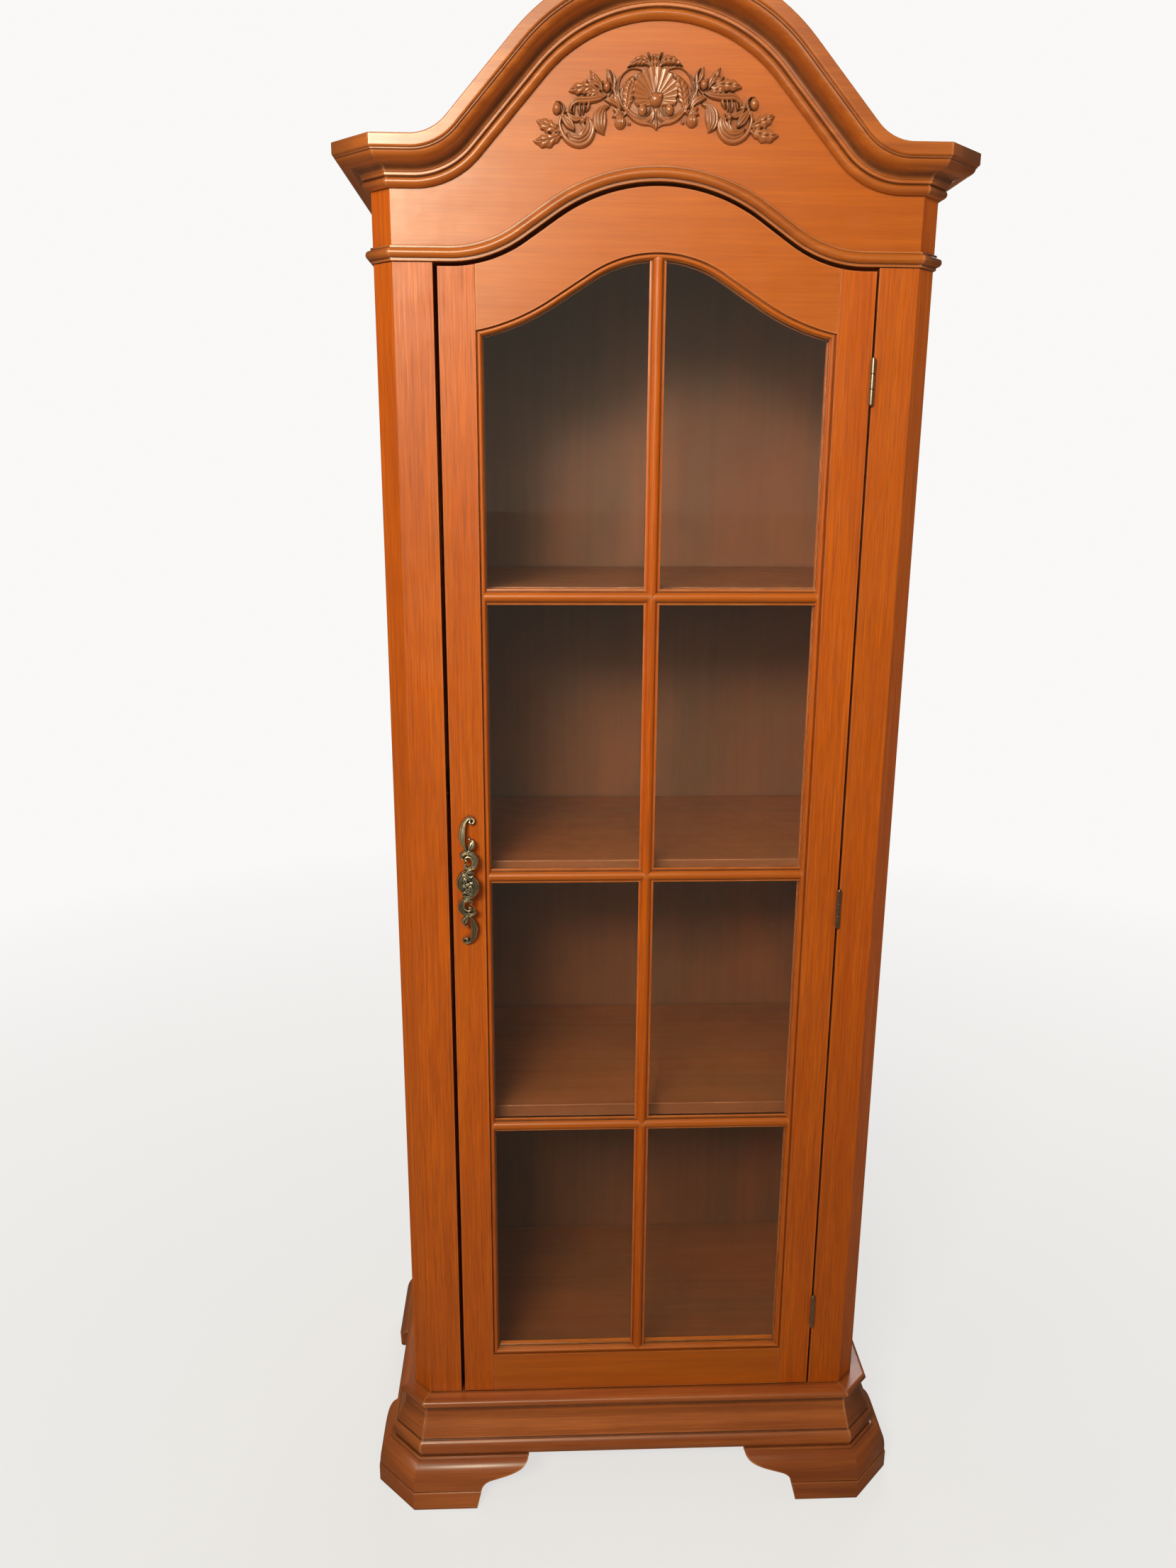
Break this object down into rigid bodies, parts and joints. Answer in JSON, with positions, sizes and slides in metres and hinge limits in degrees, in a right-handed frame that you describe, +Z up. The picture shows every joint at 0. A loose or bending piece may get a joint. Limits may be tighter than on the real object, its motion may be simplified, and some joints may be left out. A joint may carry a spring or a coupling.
{
  "type": "tower display case",
  "caption": "Tall narrow display case in cherry-stained wood with an arched bonnet cornice, carved frieze, canted posts, glazed door, moulded base and bracket feet.",
  "frame": {"origin": "centre of the bounding box on the floor, under the feet", "axes": "+Z up, +Y towards the wall behind the case, -Y towards the viewer, +X to the viewer's right, the door's hinge side"},
  "size_m": [0.7678, 0.428, 2],
  "materials": {
    "cherry_stained_wood": "satin-gloss cherry stain",
    "back_wood": "dark stained back panel",
    "antique_brass": "antique brass, dark in the recesses",
    "steel_fittings": "plain steel",
    "glass": "clear float glass",
    "catch_plastic": "brown plastic catch"
  },
  "bodies": {
    "case": {"post_left": "cherry_stained_wood", "post_right": "cherry_stained_wood", "side_left": "cherry_stained_wood", "side_right": "cherry_stained_wood", "floor_board": "cherry_stained_wood", "top_board": "cherry_stained_wood", "shelf_1": "cherry_stained_wood", "shelf_2": "cherry_stained_wood", "shelf_3": "cherry_stained_wood", "back_panel": "back_wood", "frieze": "cherry_stained_wood", "frieze_carving": "cherry_stained_wood", "cornice_front": "cherry_stained_wood", "cornice_left": "cherry_stained_wood", "cornice_right": "cherry_stained_wood", "belt_front": "cherry_stained_wood", "belt_left": "cherry_stained_wood", "belt_right": "cherry_stained_wood", "base_front": "cherry_stained_wood", "base_left": "cherry_stained_wood", "base_right": "cherry_stained_wood", "base_back": "cherry_stained_wood", "foot_front_left": "cherry_stained_wood", "foot_front_right": "cherry_stained_wood", "foot_rear_left": "cherry_stained_wood", "foot_rear_right": "cherry_stained_wood", "catch_body": "catch_plastic", "hinge_1_post_leaf": "antique_brass", "hinge_2_post_leaf": "antique_brass", "hinge_3_post_leaf": "antique_brass", "hinge_1_pin": "antique_brass", "hinge_2_pin": "antique_brass", "hinge_3_pin": "antique_brass"},
    "door": {"stile_left": "cherry_stained_wood", "stile_right": "cherry_stained_wood", "rail_top": "cherry_stained_wood", "rail_bottom": "cherry_stained_wood", "bar_upright": "cherry_stained_wood", "bar_1_left": "cherry_stained_wood", "bar_1_right": "cherry_stained_wood", "bar_2_left": "cherry_stained_wood", "bar_2_right": "cherry_stained_wood", "bar_3_left": "cherry_stained_wood", "bar_3_right": "cherry_stained_wood", "glass_pane": "glass", "glass_bead_top": "cherry_stained_wood", "glass_bead_bottom": "cherry_stained_wood", "glass_bead_left": "cherry_stained_wood", "glass_bead_right": "cherry_stained_wood", "hinge_1_door_leaf": "antique_brass", "hinge_2_door_leaf": "antique_brass", "hinge_3_door_leaf": "antique_brass", "strike_plate": "steel_fittings", "pull_handle": "antique_brass", "pull_bolt_upper": "steel_fittings", "pull_bolt_lower": "steel_fittings"}
  },
  "joints": [
    {"name": "door_hinge", "type": "hinge", "parent": "case", "child": "door", "pos_m": [0.25665, -0.1613, 0], "axis": [0, 0, 1], "range_deg": [0, 110]}
  ]
}
